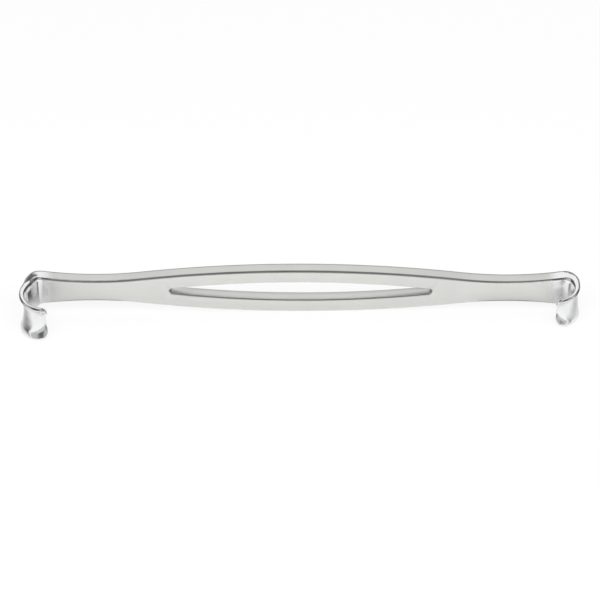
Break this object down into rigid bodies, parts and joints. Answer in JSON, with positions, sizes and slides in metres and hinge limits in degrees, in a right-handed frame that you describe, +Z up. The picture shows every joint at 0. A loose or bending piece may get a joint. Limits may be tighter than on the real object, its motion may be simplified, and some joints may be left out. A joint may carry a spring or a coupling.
{
  "type": "double-ended handheld surgical retractor",
  "caption": "Handheld surgical retractor: slim slotted flat handle with a saddle-shaped hook curled over at each end, one hook deeper and wider than the other.",
  "frame": {"origin": "centre of the bounding box, at the level of the table that it rests on", "axes": "+X along the handle towards the shallow hook, +Y away from the viewer towards the handle's outer face, +Z up"},
  "size_m": [0.155, 0.0186, 0.0167],
  "materials": {
    "steel": "satin handle, polished hooks"
  },
  "bodies": {
    "root": {"retractor": "steel"}
  },
  "joints": []
}
